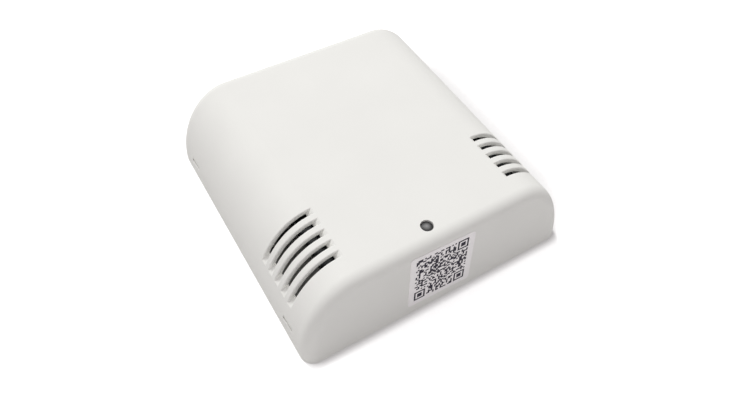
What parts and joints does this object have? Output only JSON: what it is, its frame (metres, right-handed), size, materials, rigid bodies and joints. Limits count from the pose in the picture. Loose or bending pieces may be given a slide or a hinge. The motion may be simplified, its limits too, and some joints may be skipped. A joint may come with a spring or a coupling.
{
  "type": "wireless humidity sensor",
  "caption": "Low square room humidity sensor with arched sides, slotted vents, a light window and a clip-on wall plate.",
  "frame": {"origin": "centre of the back, on the wall plane", "axes": "+X across the two curved flanks, -Y towards the end with the code label, +Z out of the wall through the front"},
  "size_m": [0.0762, 0.0762, 0.0225],
  "materials": {
    "white_plastic": "fine satin moulded texture",
    "smoked_clear": "smoked translucent",
    "label_film": "matt printed film",
    "board_black": "black solder mask over glass fibre",
    "plated_steel": "nickel plated",
    "black_plastic": "moulded",
    "cell_sleeve": "plain sleeve",
    "gilt_metal": "gold flash",
    "chip_black": "moulded package",
    "bare_aluminium": "bare can",
    "button_grey": "moulded",
    "lamp_clear": "clear package",
    "passive_ceramic": "ceramic chips"
  },
  "bodies": {
    "wall_plate": {"back_plate": "white_plastic", "snap_hooks": "white_plastic"},
    "sensor_unit": {"front_cover": "white_plastic", "light_guide": "smoked_clear", "code_label": "label_film", "circuit_board": "board_black", "board_screws": "plated_steel", "battery_holder": "black_plastic", "battery_cell_1": "cell_sleeve", "battery_cell_2": "cell_sleeve", "positive_contacts": "plated_steel", "negative_contacts": "plated_steel", "radio_module": "board_black", "radio_shield": "plated_steel", "antenna": "gilt_metal", "microcontroller": "chip_black", "crystal": "plated_steel", "buffer_capacitor": "bare_aluminium", "header_base": "black_plastic", "header_pins": "gilt_metal", "switch_body": "black_plastic", "humidity_sensor": "chip_black", "light_sensor": "lamp_clear", "status_lamp": "lamp_clear", "passive_parts": "passive_ceramic"},
    "button": {"reset_button": "button_grey"}
  },
  "joints": [
    {"name": "cover_release", "type": "slide", "parent": "wall_plate", "child": "sensor_unit", "axis": [0, 0, 1], "range_m": [0, 0.03], "deforming": ["snap_hooks"]},
    {"name": "button_press", "type": "slide", "parent": "sensor_unit", "child": "button", "axis": [0, 0, 1], "range_m": [0, 0.00025], "stiffness_N_per_m": 4000, "springref_m": -0.0001}
  ]
}
